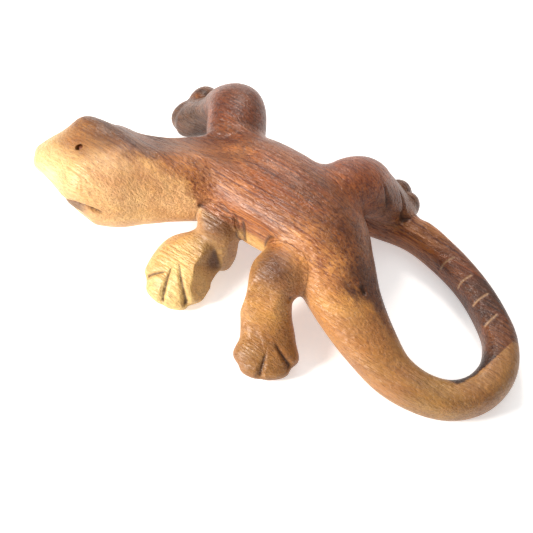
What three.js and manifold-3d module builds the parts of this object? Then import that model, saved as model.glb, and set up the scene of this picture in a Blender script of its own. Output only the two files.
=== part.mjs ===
import * as THREE from 'three';
import { mergeVertices } from 'three/addons/utils/BufferGeometryUtils.js';
import Module from 'manifold-3d';

const wasm = await Module();
wasm.setup();

// ---------------------------------------------------------------- dimensions
// Millimetres.  +Z up, head toward -X, the lizard's left side toward -Y.
const BODY_SEGMENTS = 30;        // facets round the body
const BODY_RINGS = 62;           // rings along the body, nose to tail end
const LEG_SEGMENTS = 20;
const LEG_RINGS = 18;
const KERF = 0.3;                // clear gap left for glue at every joint
const DOWEL_D = 4.0;             // peg diameter
const DOWEL_HOLE_D = 4.6;        // drilled hole
const DOWEL_HALF = 7.5;          // peg length each side of the joint
const DOWEL_HOLE_HALF = 8.0;
const EYE_D = 2.2;               // eye peg diameter
const EYE_HOLE_D = 2.8;
const EYE_LENGTH = 5.0;
const MOUTH_WIDTH = 0.9;         // height of the sawn mouth slit
const MOUTH_DEPTH = 2.2;
const JAW_SETBACK = 1.3;         // lower jaw stands behind the upper lip
const HEAD_ROLL = 14;            // degrees, crown leaning to the lizard's right
const HEAD_YAW = 20;
const TOE_WIDTH = 1.5;           // mouth of a toe V-cut
const TOE_DEPTH = 2.2;
const CENTRE_SHIFT = [-6.2, -8.9];  // brings the box centre onto the origin

// ------------------------------------------------------------------- helpers
// Shape-preserving interpolation of one number along the stations.
function pchip(ts, vs) {
  const n = ts.length;
  const d = [];
  for (let i = 0; i < n - 1; i++) d.push((vs[i + 1] - vs[i]) / (ts[i + 1] - ts[i]));
  const m = [d[0]];
  for (let i = 1; i < n - 1; i++) {
    if (d[i - 1] * d[i] <= 0) m.push(0);
    else {
      const h0 = ts[i] - ts[i - 1];
      const h1 = ts[i + 1] - ts[i];
      const w1 = 2 * h1 + h0;
      const w2 = h1 + 2 * h0;
      m.push((w1 + w2) / (w1 / d[i - 1] + w2 / d[i]));
    }
  }
  m.push(d[n - 2]);
  return (t) => {
    let i = 0;
    while (i < n - 2 && t > ts[i + 1]) i++;
    const h = ts[i + 1] - ts[i];
    const s = (t - ts[i]) / h;
    const s2 = s * s;
    const s3 = s2 * s;
    return vs[i] * (2 * s3 - 3 * s2 + 1) + h * m[i] * (s3 - 2 * s2 + s)
      + vs[i + 1] * (-2 * s3 + 3 * s2) + h * m[i + 1] * (s3 - s2);
  };
}

// A limb or body: superellipse sections strung along a smooth line.
// Station: [x, y, z, width, height, squareness, turn].  On a 'limb' the turn
// (degrees) is the level heading of the width; on the 'body' it is the roll
// of the section about the line.
function loft(stations, segments, rings, grow = 0, kind = 'body') {
  const points = stations.map((s) => new THREE.Vector3(s[0], s[1], s[2]));
  const line = new THREE.CatmullRomCurve3(points, false, 'centripetal');
  const n = stations.length;
  const ts = stations.map((s, i) => i / (n - 1));
  const width = pchip(ts, stations.map((s) => s[3] / 2));
  const height = pchip(ts, stations.map((s) => s[4] / 2));
  const square = pchip(ts, stations.map((s) => s[5] ?? 2));
  const turn = pchip(ts, stations.map((s) => s[6] ?? 0));
  // even spacing by arc length, closer toward the two rounded ends
  const fine = 400;
  const length = [0];
  let last = line.getPoint(0);
  for (let i = 1; i <= fine; i++) {
    const p = line.getPoint(i / fine);
    length.push(length[i - 1] + p.distanceTo(last));
    last = p;
  }
  const total = length[fine];
  const atLength = (l) => {
    let i = 1;
    while (i < fine && length[i] < l) i++;
    return (i - 1 + (l - length[i - 1]) / Math.max(1e-9, length[i] - length[i - 1])) / fine;
  };
  const vertices = [];
  const frames = [];
  const endA = Math.min(width(0), height(0)) + grow;
  const endB = Math.min(width(1), height(1)) + grow;
  const dome = 5;
  const list = [];
  for (let i = 1; i < dome; i++) {
    const a = (i / dome) * Math.PI / 2;
    list.push([-endA * Math.cos(a), Math.sin(a)]);
  }
  for (let i = 0; i <= rings; i++) list.push([total * i / rings, 1]);
  for (let i = dome - 1; i >= 1; i--) {
    const a = (i / dome) * Math.PI / 2;
    list.push([total + endB * Math.cos(a), Math.sin(a)]);
  }
  const place = (l) => {
    const t = Math.min(1, Math.max(0, atLength(Math.min(total, Math.max(0, l)))));
    const centre = line.getPoint(t);
    const ahead = line.getTangent(t).normalize();
    if (l < 0) centre.addScaledVector(ahead, l);
    if (l > total) centre.addScaledVector(ahead, l - total);
    const a = turn(t) * Math.PI / 180;
    let side;
    if (kind === 'limb') {
      side = new THREE.Vector3(Math.cos(a), Math.sin(a), 0);
      side.addScaledVector(ahead, -side.dot(ahead)).normalize();
    } else {
      side = new THREE.Vector3(0, 0, 1).cross(ahead).normalize();
      side.applyAxisAngle(ahead, -a);
    }
    const up = ahead.clone().cross(side).normalize();
    return { t, centre, side, up, ahead };
  };
  for (const [l, k] of list) {
    const f = place(l);
    const a = (width(f.t) + grow) * k;
    const b = (height(f.t) + grow) * k;
    const e = 2 / square(f.t);
    for (let j = 0; j < segments; j++) {
      const th = (j / segments) * Math.PI * 2;
      const c = Math.cos(th);
      const s = Math.sin(th);
      const u = a * Math.sign(c) * Math.abs(c) ** e;
      const v = b * Math.sign(s) * Math.abs(s) ** e;
      vertices.push(
        f.centre.x + f.side.x * u + f.up.x * v,
        f.centre.y + f.side.y * u + f.up.y * v,
        f.centre.z + f.side.z * u + f.up.z * v,
      );
    }
    frames.push(f);
  }
  const poleA = place(-endA).centre;
  const poleB = place(total + endB).centre;
  vertices.push(poleA.x, poleA.y, poleA.z, poleB.x, poleB.y, poleB.z);
  const index = [];
  const rows = list.length;
  for (let i = 0; i < rows - 1; i++) {
    for (let j = 0; j < segments; j++) {
      const k = (j + 1) % segments;
      const a = i * segments + j;
      const b = i * segments + k;
      const c = (i + 1) * segments + k;
      const d = (i + 1) * segments + j;
      index.push(a, b, c, a, c, d);
    }
  }
  const pa = rows * segments;
  const pb = pa + 1;
  for (let j = 0; j < segments; j++) {
    const k = (j + 1) % segments;
    index.push(pa, k, j);
    const o = (rows - 1) * segments;
    index.push(pb, o + j, o + k);
  }
  const g = new THREE.BufferGeometry();
  g.setAttribute('position', new THREE.Float32BufferAttribute(vertices, 3));
  g.setIndex(index);
  return solid(g);
}

// Closed three.js geometry to a manifold solid.
function solid(geometry) {
  const g = geometry.clone();
  g.deleteAttribute('normal');
  g.deleteAttribute('uv');
  const m = mergeVertices(g, 1e-4);
  const mesh = new wasm.Mesh({
    numProp: 3,
    vertProperties: new Float32Array(m.attributes.position.array),
    triVerts: new Uint32Array(m.index.array),
  });
  const out = new wasm.Manifold(mesh);
  if (out.volume() < 0) throw new Error('inside out');
  return out;
}

function matrixTo(from, direction) {
  const q = new THREE.Quaternion().setFromUnitVectors(new THREE.Vector3(0, 0, 1), direction.clone().normalize());
  return new THREE.Matrix4().compose(from, q, new THREE.Vector3(1, 1, 1));
}

function blob(centre, radii, yaw = 0, pitch = 0) {
  const g = new THREE.SphereGeometry(1, 16, 10);
  g.scale(radii[0], radii[1], radii[2]);
  g.rotateY(pitch * Math.PI / 180);
  g.rotateZ(yaw * Math.PI / 180);
  g.translate(centre[0], centre[1], centre[2]);
  return solid(g);
}

// Round peg or drilled hole about a centre point, along a direction.
function rod(centre, direction, diameter, half, chamfer = 0) {
  const r = diameter / 2;
  const profile = [
    new THREE.Vector2(0, -half),
    new THREE.Vector2(r - chamfer, -half),
    new THREE.Vector2(r, -half + chamfer),
    new THREE.Vector2(r, half - chamfer),
    new THREE.Vector2(r - chamfer, half),
    new THREE.Vector2(0, half),
  ];
  const list = chamfer > 0 ? profile : [profile[0], profile[1], profile[4], profile[5]];
  const g = new THREE.LatheGeometry(list, 20);
  g.rotateX(Math.PI / 2);
  g.applyMatrix4(matrixTo(new THREE.Vector3(...centre), new THREE.Vector3(...direction)));
  return solid(g);
}

// Big block on the outer side of a joint plane (point, outward normal).
function halfSpace(point, normal, size = 120) {
  const n = new THREE.Vector3(...normal).normalize();
  const g = new THREE.BoxGeometry(size, size, size);
  g.translate(0, 0, size / 2);
  g.applyMatrix4(matrixTo(new THREE.Vector3(...point), n));
  return solid(g);
}

// V-shaped knife cut between two toes: a long four-sided wedge whose edge
// starts on the back of the foot and dives to the sole at the toe tips.
function toeCut(start, end, width, depth) {
  const a = new THREE.Vector3(...start);
  const b = new THREE.Vector3(...end);
  const ahead = b.clone().sub(a);
  const long = ahead.length();
  ahead.normalize();
  const side = new THREE.Vector3(0, 0, 1).cross(ahead).normalize();
  const up = ahead.clone().cross(side).normalize();
  const p = [];
  const add = (l, s, u) => p.push(
    a.x + ahead.x * l + side.x * s + up.x * u,
    a.y + ahead.y * l + side.y * s + up.y * u,
    a.z + ahead.z * l + side.z * s + up.z * u,
  );
  add(0, 0, -0.2);
  add(0, -width * 0.3, 6);
  add(0, width * 0.3, 6);
  add(long, 0, -depth);
  add(long, -width, 6);
  add(long, width, 6);
  const g = new THREE.BufferGeometry();
  g.setAttribute('position', new THREE.Float32BufferAttribute(p, 3));
  g.setIndex([0, 1, 2, 3, 5, 4, 0, 3, 4, 0, 4, 1, 0, 2, 5, 0, 5, 3, 1, 4, 5, 1, 5, 2]);
  return solid(g);
}

// ---------------------------------------------------------------------- body
// Nose, head, neck, trunk, rump, and the tail curling back to the right foot.
const BODY = [
  [-85.2, -27.1, 31.1, 7.5, 7.5, 2, 14],
  [-82.6, -26.2, 30.9, 14, 13.5, 2.1, 14],
  [-79.5, -25.2, 30.8, 19.5, 19, 2.2, 14],
  [-75.5, -23.8, 30.4, 26, 24.5, 2.3, 14],
  [-70.8, -22, 29.6, 33, 29.5, 2.3, 14],
  [-63, -19.8, 28.4, 41, 33, 2.3, 14],
  [-55, -16.4, 27.7, 38.5, 34, 2.2, 12],
  [-47.5, -11, 27, 34, 31.5, 2.1, 8],
  [-39, -3.5, 26, 32, 29, 2.1, 3],
  [-30, 5.5, 25, 34, 30, 2.1],
  [-20, 11, 25, 39, 32, 2.1],
  [-4, 12, 25, 40, 33, 2.1],
  [8, 11, 25, 38, 33, 2.1],
  [18, 8, 24, 35, 31, 2.1],
  [28.5, 1.8, 20.5, 30, 27, 2.1],
  [39.8, -4.8, 15.5, 24.5, 22, 2.2],
  [52.5, -10.2, 10.5, 20, 18, 2.3],
  [65.5, -14.1, 7.1, 15.8, 15, 2.4],
  [78, -13.8, 6.4, 13.6, 14, 2.4],
  [87, -9.8, 6.2, 13.2, 13.6, 2.4],
  [92.6, -2, 6, 13.2, 13.2, 2.5],
  [93.6, 9, 5.9, 13.2, 13, 2.6],
  [88.5, 20, 5.6, 12.2, 12.4, 2.8],
  [79, 28.4, 5.4, 11.4, 12, 3],
  [67, 35.4, 5.4, 11, 12, 3],
  [52.4, 40.6, 5.4, 11.6, 12, 3],
  [37.6, 42.8, 5.8, 12.6, 12.8, 2.6],
  [21.5, 38.6, 5.4, 10, 12, 2.4],
];
// ---------------------------------------------------------------------- legs
const LEG_LF_ARM = [
  [-20, 4, 25, 16, 18, 2.3, 8],
  [-17, -5, 23, 16, 16, 2.3, 8],
  [-15.2, -9.5, 17, 16, 13, 2.3, 8],
  [-15, -10.5, 9, 15, 11, 2.3, 6],
  [-15.5, -11, 5, 13.5, 9, 2.2, 6],
];
const LEG_LF_HAND = [
  [-15.5, -9, 12, 14, 20, 2.2],
  [-17.5, -15, 11, 18, 18, 2.2],
  [-20.2, -22, 8.4, 26, 15.5, 2.2],
  [-19.8, -29.5, 5.7, 26, 12, 2.2],
  [-19.2, -34.9, 3.6, 18.5, 8, 2.1],
];
const LEG_LH = [
  [18, 0, 23, 19, 17, 2.2, 0],
  [16, -12, 23, 20, 18, 2.2, 2],
  [15, -19, 19.5, 20, 16, 2.2, 6],
  [18.2, -24, 12.5, 18.5, 13, 2.2, 14],
  [22.6, -29, 7.2, 20, 12, 2.2, 22],
  [25.8, -34, 5.1, 23.5, 11, 2.2, 26],
  [28, -37.6, 3.6, 18, 8, 2.1, 28],
];
const LEG_RF_ARM = [
  [-25, 15, 24, 22, 20, 2.2, 39],
  [-35, 26.5, 26.5, 23, 22, 2.2, 39],
  [-42.2, 35.8, 27.2, 22.5, 21, 2.4, 45],
  [-49.5, 39.4, 22.5, 20, 19, 2.2, 65],
  [-57, 39, 15, 16, 15, 2.2, 84],
  [-64, 38.5, 9.5, 18, 14, 2.2, 90],
  [-68.2, 38.4, 6.6, 19, 13.6, 2.2, 92],
  [-71.4, 38.4, 5.6, 15, 11.6, 2.2, 92],
];
const LEG_RH = [
  [10, 14, 26, 22, 22, 2.2],
  [13, 28, 26, 23, 23, 2.2],
  [16.5, 37, 24, 23, 21, 2.2],
  [20.5, 41.5, 19, 22, 17, 2.2],
  [23.5, 45.5, 13.5, 21, 14, 2.2],
  [25.5, 48.5, 9, 20, 12, 2.2],
  [26.5, 50.8, 6, 17, 10, 2.2],
];

// Mouth line in the head frame: [distance behind the nose, height].
const MOUTH_LINE = [[-12, -6], [0, -4.2], [12.2, -2.1], [21, -0.4], [29.5, -1.6]];
const SNOUT = { at: [-75.8, -25.6, 29.6], radii: [11.3, 12.8, 9.8] };
const BROW_RIGHT = { at: [-67, -13, 38], radii: [10, 7, 7] };
const BROW_LEFT = { at: [-64.5, -22, 37.5], radii: [10, 7.5, 6] };
const EYES = {
  eye_peg_left: { at: [-65.1, -23.9, 43.2], axis: [-0.1, -0.5, 0.86] },
  eye_peg_right: { at: [-71.5, -8.2, 40.5], axis: [-0.35, 0.72, 0.6] },
};
// Joint planes: a point, the outward direction, and the peg centres.
const PLANES = {
  foreleg_left: { at: [-16, -4.5, 22], out: [0, -1, -0.25], pegs: [[-19, -2.2, 22.6], [-12.5, -2.2, 22.6]] },
  hindleg_left: { at: [16.5, -5.5, 23], out: [0, -1, -0.1], pegs: [[12, -5.5, 23], [21, -5.5, 23]] },
  foreleg_right: { at: [-33, 25.5, 25], out: [-0.55, 0.83, 0], pegs: [[-36.5, 23.2, 25], [-29.5, 27.8, 25]] },
  hindleg_right: { at: [12.5, 26, 26], out: [0.15, 0.98, 0], pegs: [[8.2, 26.7, 26], [16.8, 25.3, 26]] },
};
const TAIL_PEG = { at: [26.5, 42.4, 9], axis: [0, 0, 1], half: 6 };
// Toe cuts: where the V starts on the back of the foot, where it leaves.
const TOES = {
  foreleg_left: [
    [[-22.3, -31, 12.4], [-31, -36, 5]],
    [[-22, -32, 12], [-20.5, -40.5, 3]],
    [[-19, -28, 14], [-9, -36, 3]],
  ],
  hindleg_left: [
    [[26.9, -35.4, 10.6], [29.6, -44, 3]],
    [[27.7, -31.2, 12], [37, -32.5, 4]],
    [[22.9, -35.8, 10.8], [16.5, -41, 4]],
  ],
  foreleg_right: [],
  hindleg_right: [
    [[24.5, 36.9, 31.2], [30.5, 33, 15]],
    [[27.7, 45, 22.2], [33.5, 41, 13]],
  ],
};

// ---------------------------------------------------------- body and details
let body = loft(BODY, BODY_SEGMENTS, BODY_RINGS);
body = body.add(blob(SNOUT.at, SNOUT.radii, HEAD_YAW));
body = body.add(blob(BROW_RIGHT.at, BROW_RIGHT.radii, HEAD_YAW, 12));
body = body.add(blob(BROW_LEFT.at, BROW_LEFT.radii, HEAD_YAW, 12));

// Head frame: X back along the head from the nose, Y across to the lizard's
// right, Z to the crown, rolled with the head.
const HEAD_FRAME = (() => {
  const x = new THREE.Vector3(27, 10, -2.8).normalize();
  const y = new THREE.Vector3(0, 0, 1).cross(x).normalize().applyAxisAngle(x, -HEAD_ROLL * Math.PI / 180);
  const z = x.clone().cross(y);
  return new THREE.Matrix4().makeBasis(x, y, z).setPosition(-82, -26.2, 30.5);
})();
// Side-view band [distance behind the nose, height], swept across the head.
function headBand(points) {
  const shape = new THREE.Shape(points.map((p) => new THREE.Vector2(p[0], p[1])));
  const g = new THREE.ExtrudeGeometry(shape, { depth: 80, bevelEnabled: false });
  g.translate(0, 0, -40);
  g.rotateX(Math.PI / 2);
  g.applyMatrix4(HEAD_FRAME);
  return solid(g);
}
const skin = loft(BODY.slice(0, 11), BODY_SEGMENTS, 40, 2);
const slitCore = loft(BODY.slice(0, 11), BODY_SEGMENTS, 40, -MOUTH_DEPTH);
const jawCore = loft(BODY.slice(0, 11), BODY_SEGMENTS, 40, -JAW_SETBACK);
const lip = MOUTH_LINE.map((p) => [p[0], p[1]]);
const lipUnder = MOUTH_LINE.map((p) => [p[0], p[1] - MOUTH_WIDTH]).reverse();
const slit = headBand([...lip, ...lipUnder]).intersect(skin.subtract(slitCore));
const jawTop = MOUTH_LINE.slice(0, 4).map((p) => [p[0], p[1] - MOUTH_WIDTH / 2]);
const jawCut = headBand([...jawTop, [24, -12], [12, -24], [-12, -24]]).intersect(skin.subtract(jawCore));
body = body.subtract(slit).subtract(jawCut);

// ----------------------------------------------------- legs and joint planes
const limb = (stations, g) => loft(stations, LEG_SEGMENTS, LEG_RINGS, g, 'limb');
const legs = {
  foreleg_left: (g) => limb(LEG_LF_ARM, g).add(loft(LEG_LF_HAND, LEG_SEGMENTS, LEG_RINGS, g)),
  hindleg_left: (g) => limb(LEG_LH, g),
  foreleg_right: (g) => limb(LEG_RF_ARM, g).add(blob([-68.4, 46, 6.6], [6 + g, 8 + g, 7.2 + g], 10)),
  hindleg_right: (g) => loft(LEG_RH, LEG_SEGMENTS, LEG_RINGS, g)
    .add(blob([22.3, 55.8, 6], [5.5 + g, 5.5 + g, 6.5 + g]))
    .add(blob([28, 53.6, 5.5], [5 + g, 5 + g, 6 + g])),
};
const parts = {};
const tail = loft(BODY.slice(-9), BODY_SEGMENTS, 40, KERF);
for (const name of Object.keys(legs)) {
  const { at, out, pegs } = PLANES[name];
  const n = new THREE.Vector3(...out).normalize();
  const outer = new THREE.Vector3(...at).addScaledVector(n, KERF / 2).toArray();
  const inner = new THREE.Vector3(...at).addScaledVector(n, -KERF / 2).toArray();
  const whole = legs[name](0);
  let leg = whole.intersect(halfSpace(outer, out));
  // the root of the leg inside the plane is one with the trunk
  body = body.add(whole.subtract(halfSpace(inner, out)));
  if (name === 'hindleg_right') leg = leg.subtract(tail);
  else body = body.subtract(legs[name](KERF).intersect(halfSpace(inner, out)));
  if (name === 'hindleg_right') {
    body = body.subtract(legs[name](KERF).intersect(halfSpace(inner, out)).subtract(tail));
  }
  pegs.forEach((p, i) => {
    const hole = rod(p, out, DOWEL_HOLE_D, DOWEL_HOLE_HALF);
    leg = leg.subtract(hole);
    body = body.subtract(hole);
    parts[`dowel_${name}_${i + 1}`] = rod(p, out, DOWEL_D, DOWEL_HALF, 0.5);
  });
  for (const cut of TOES[name]) leg = leg.subtract(toeCut(cut[0], cut[1], TOE_WIDTH, TOE_DEPTH));
  parts[name] = leg;
}
// peg through the right hind foot into the end of the tail
const tailHole = rod(TAIL_PEG.at, TAIL_PEG.axis, DOWEL_HOLE_D, TAIL_PEG.half + 0.5);
body = body.subtract(tailHole);
parts.hindleg_right = parts.hindleg_right.subtract(tailHole);
parts.dowel_tail = rod(TAIL_PEG.at, TAIL_PEG.axis, DOWEL_D, TAIL_PEG.half, 0.5);
// eye pegs stand just under flush in blind holes
for (const [name, e] of Object.entries(EYES)) {
  body = body.subtract(rod(e.at, e.axis, EYE_HOLE_D, EYE_LENGTH + 0.4));
  const a = new THREE.Vector3(...e.axis).normalize();
  const centre = new THREE.Vector3(...e.at).addScaledVector(a, -EYE_LENGTH / 2).toArray();
  parts[name] = rod(centre, e.axis, EYE_D, EYE_LENGTH / 2, 0.2);
}
parts.body = body;

// ------------------------------------------------------------------ assembly
// Everything below the floor is planed off, which gives the flat soles.
const floor = solid(new THREE.BoxGeometry(400, 400, 40).translate(0, 0, -20));
const COLOURS = {
  body: 0xa8683c,
  foreleg_left: 0xd6a460,
  hindleg_left: 0xcf9a55,
  foreleg_right: 0x8f4f2d,
  hindleg_right: 0x96583a,
  eye_peg_left: 0x3a2418,
  eye_peg_right: 0x3a2418,
};
const ORDER = ['body', 'foreleg_left', 'foreleg_right', 'hindleg_left', 'hindleg_right'];
const names = [...ORDER, ...Object.keys(parts).filter((k) => !ORDER.includes(k))];
const group = new THREE.Group();
group.name = 'carved_lizard';
for (const name of names) {
  const m = parts[name].subtract(floor).getMesh();
  const g = new THREE.BufferGeometry();
  g.setAttribute('position', new THREE.Float32BufferAttribute(new Float32Array(m.vertProperties), 3));
  g.setIndex(Array.from(m.triVerts));
  g.translate(CENTRE_SHIFT[0], CENTRE_SHIFT[1], 0);
  g.computeVertexNormals();
  const mesh = new THREE.Mesh(g, new THREE.MeshStandardMaterial({ color: COLOURS[name] ?? 0xc8a070, roughness: 0.6 }));
  mesh.name = name;
  group.add(mesh);
}
export default group;
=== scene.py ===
import math

import bmesh
import bpy
import numpy as np
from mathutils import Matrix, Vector
from mathutils.bvhtree import BVHTree
from mathutils.kdtree import KDTree


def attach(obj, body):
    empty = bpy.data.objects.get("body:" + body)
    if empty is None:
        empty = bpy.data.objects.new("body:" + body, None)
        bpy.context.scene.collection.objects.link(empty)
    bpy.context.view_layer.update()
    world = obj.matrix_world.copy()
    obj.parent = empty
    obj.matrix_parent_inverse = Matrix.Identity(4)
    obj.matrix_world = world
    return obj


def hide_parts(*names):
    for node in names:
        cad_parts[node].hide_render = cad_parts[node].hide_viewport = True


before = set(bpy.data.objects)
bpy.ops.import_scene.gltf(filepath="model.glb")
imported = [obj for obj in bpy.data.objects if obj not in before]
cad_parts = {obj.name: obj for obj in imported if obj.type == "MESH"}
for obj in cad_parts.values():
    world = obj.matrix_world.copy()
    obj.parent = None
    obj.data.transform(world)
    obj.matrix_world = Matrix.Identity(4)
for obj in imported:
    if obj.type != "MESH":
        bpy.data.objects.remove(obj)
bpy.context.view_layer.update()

# ---------------------------------------------------------------- the blank
# One lizard, roughed out of a board whose edge is pale sapwood.  Trunk, head and
# tail are one run of oval sections along a bent line; legs are shorter runs.
# All shaping is in millimetres, measured from the carver's zero between the forelegs.
MM = 0.001
CARVER_ZERO = np.array([-6.2, -8.9, 0.0])

# each station: x, y, z, width, height, squareness of the oval, roll in degrees
TRUNK = [
    (-85.2, -27.1, 31.1, 7.5, 7.5, 2, 14),
    (-82.6, -26.2, 30.9, 14, 13.5, 2.1, 14),
    (-79.5, -25.2, 30.8, 19.5, 19, 2.2, 14),
    (-75.5, -23.8, 30.4, 26, 24.5, 2.3, 14),
    (-70.8, -22, 29.6, 33, 29.5, 2.3, 14),
    (-63, -19.8, 28.4, 41, 33, 2.3, 14),
    (-55, -16.4, 27.7, 38.5, 34, 2.2, 12),
    (-47.5, -11, 27, 34, 31.5, 2.1, 8),
    (-39, -3.5, 26, 32, 29, 2.1, 3),
    (-30, 5.5, 25, 34, 30, 2.1, 0),
    (-20, 11, 25, 39, 32, 2.1, 0),
    (-4, 12, 25, 40, 33, 2.1, 0),
    (8, 11, 25, 38, 33, 2.1, 0),
    (18, 8, 24, 35, 31, 2.1, 0),
    (28.5, 1.8, 20.5, 30, 27, 2.1, 0),
    (39.8, -4.8, 15.5, 24.5, 22, 2.2, 0),
    (52.5, -10.2, 10.5, 20, 18, 2.3, 0),
    (65.5, -14.1, 7.1, 15.8, 15, 2.4, 0),
    (78, -13.8, 6.4, 13.6, 14, 2.4, 0),
    (87, -9.8, 6.2, 13.2, 13.6, 2.4, 0),
    (92.6, -2, 6, 13.2, 13.2, 2.5, 0),
    (93.6, 9, 5.9, 13.2, 13, 2.6, 0),
    (88.5, 20, 5.6, 12.2, 12.4, 2.8, 0),
    (79, 28.4, 5.4, 11.4, 12, 3, 0),
    (67, 35.4, 5.4, 11, 12, 3, 0),
    (52.4, 40.6, 5.4, 11.6, 12, 3, 0),
    (37.6, 42.8, 5.8, 12.6, 12.8, 2.6, 0),
    (21.5, 38.6, 5.4, 10, 12, 2.4, 0),
]
TAIL_RUN = 9
SNOUT = ((-75.8, -25.6, 29.6), (11.3, 12.8, 9.8), 20)
BROWS = [
    ((-67, -13, 38), (10, 7, 7), 20, 12),
    ((-64.5, -22, 37.5), (10, 7.5, 6), 20, 12),
    ((-71.5, -14, 37.4), (9, 8, 7), 20, 6),
]


def eased(values, t):
    """Even stations joined smoothly and without overshoot."""
    v = np.asarray(values, float)
    last = len(v) - 1
    slope = np.diff(v) * last
    m = np.empty(last + 1)
    m[0], m[-1] = slope[0], slope[-1]
    for i in range(1, last):
        a, b = slope[i - 1], slope[i]
        m[i] = 0.0 if a * b <= 0 else 2 * a * b / (a + b)
    i = np.clip((t * last).astype(int), 0, last - 1)
    s = t * last - i
    h = 1.0 / last
    s2, s3 = s * s, s * s * s
    return (v[i] * (2 * s3 - 3 * s2 + 1) + h * m[i] * (s3 - 2 * s2 + s)
            + v[i + 1] * (-2 * s3 + 3 * s2) + h * m[i + 1] * (s3 - s2))


def bent_line(points, t):
    """A smooth line through the stations, knots spaced by the root of their distance."""
    p = np.asarray(points, float)
    last = len(p) - 1
    full = np.vstack([2 * p[0] - p[1], p, 2 * p[-1] - p[-2]])
    gap = np.linalg.norm(np.diff(full, axis=0), axis=1) ** 0.5
    i = np.clip((t * last).astype(int), 0, last - 1)
    s = (t * last - i)[:, None]
    x0, x1, x2, x3 = full[i], full[i + 1], full[i + 2], full[i + 3]
    d0, d1, d2 = gap[i][:, None], gap[i + 1][:, None], gap[i + 2][:, None]
    t1 = ((x1 - x0) / d0 - (x2 - x0) / (d0 + d1) + (x2 - x1) / d1) * d1
    t2 = ((x2 - x1) / d1 - (x3 - x1) / (d1 + d2) + (x3 - x2) / d2) * d1
    return x1 + s * (t1 + s * ((-3 * x1 + 3 * x2 - 2 * t1 - t2) + s * (2 * x1 - 2 * x2 + t1 + t2)))


def unit(v):
    v = np.asarray(v, float)
    return v / np.linalg.norm(v, axis=-1, keepdims=True)


def run_of_ovals(stations, around, along, level=False, grow=0.0, dome=10):
    """Closed skin over the stations: (vertices in mm, faces)."""
    st = np.asarray(stations, float)
    fine = np.linspace(0, 1, 2001)
    line = bent_line(st[:, :3], fine)
    length = np.concatenate([[0], np.cumsum(np.linalg.norm(np.diff(line, axis=0), axis=1))])
    total = length[-1]
    w0 = [eased(st[:, k] / 2, np.array([0.0, 1.0])) for k in (3, 4)]
    end_a = min(w0[0][0], w0[1][0]) + grow
    end_b = min(w0[0][1], w0[1][1]) + grow
    turn = np.arange(1, dome) / dome * math.pi / 2
    stop = np.concatenate([-end_a * np.cos(turn), np.linspace(0, total, along + 1),
                           total + end_b * np.cos(turn[::-1])])
    scale = np.concatenate([np.sin(turn), np.ones(along + 1), np.sin(turn[::-1])])
    t = np.interp(np.clip(stop, 0, total), length, fine)
    centre = bent_line(st[:, :3], t)
    step = 1e-4
    after = bent_line(st[:, :3], np.clip(t + step, 0, 1))
    before = bent_line(st[:, :3], np.clip(t - step, 0, 1))
    ahead = unit(after - before)
    over = stop - np.clip(stop, 0, total)
    centre = centre + ahead * over[:, None]
    roll = np.radians(eased(st[:, 6], t))
    if level:
        side = np.stack([np.cos(roll), np.sin(roll), 0 * roll], axis=1)
        side = unit(side - ahead * np.sum(side * ahead, axis=1)[:, None])
    else:
        side = unit(np.cross([0, 0, 1], ahead))
        c, s = np.cos(-roll)[:, None], np.sin(-roll)[:, None]
        side = side * c + np.cross(ahead, side) * s
    up = unit(np.cross(ahead, side))
    a = (eased(st[:, 3] / 2, t) + grow) * scale
    b = (eased(st[:, 4] / 2, t) + grow) * scale
    power = 2 / eased(st[:, 5], t)
    th = np.arange(around) / around * 2 * math.pi
    cos, sin = np.cos(th)[None, :], np.sin(th)[None, :]
    u = a[:, None] * np.sign(cos) * np.abs(cos) ** power[:, None]
    v = b[:, None] * np.sign(sin) * np.abs(sin) ** power[:, None]
    ring = centre[:, None, :] + side[:, None, :] * u[..., None] + up[:, None, :] * v[..., None]
    verts = ring.reshape(-1, 3)
    pole_a = centre[dome - 1] - ahead[0] * end_a
    pole_b = centre[-dome] + ahead[-1] * end_b
    verts = np.vstack([verts, pole_a, pole_b])
    rows = len(stop)
    faces = []
    for i in range(rows - 1):
        for j in range(around):
            k = (j + 1) % around
            faces.append((i * around + j, i * around + k, (i + 1) * around + k, (i + 1) * around + j))
    for j in range(around):
        k = (j + 1) % around
        faces.append((rows * around, k, j))
        faces.append((rows * around + 1, (rows - 1) * around + j, (rows - 1) * around + k))
    return verts, faces


def knob(at, radii, yaw=0, pitch=0, grow=0.0):
    """A rounded lump: a stretched ball, turned and tipped."""
    rings, around = 24, 40
    a = np.radians(yaw)
    b = np.radians(pitch)
    tip = np.array([[math.cos(b), 0, math.sin(b)], [0, 1, 0], [-math.sin(b), 0, math.cos(b)]])
    spin = np.array([[math.cos(a), -math.sin(a), 0], [math.sin(a), math.cos(a), 0], [0, 0, 1]])
    verts = []
    for i in range(1, rings):
        h = math.pi * i / rings
        for j in range(around):
            g = 2 * math.pi * j / around
            verts.append((math.sin(h) * math.cos(g), math.sin(h) * math.sin(g), math.cos(h)))
    verts += [(0, 0, 1), (0, 0, -1)]
    faces = []
    for i in range(rings - 2):
        for j in range(around):
            k = (j + 1) % around
            faces.append((i * around + j, (i + 1) * around + j, (i + 1) * around + k, i * around + k))
    n = (rings - 1) * around
    for j in range(around):
        k = (j + 1) % around
        faces.append((n, j, k))
        faces.append((n + 1, (rings - 2) * around + k, (rings - 2) * around + j))
    size = np.asarray(radii, float) + grow
    return (np.asarray(verts) * size) @ tip.T @ spin.T + np.asarray(at, float), faces


trunk_skin = run_of_ovals(TRUNK, 96, 420)
brow_skins = [knob(*b) for b in BROWS]
snout_skin = knob(*SNOUT)

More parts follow.
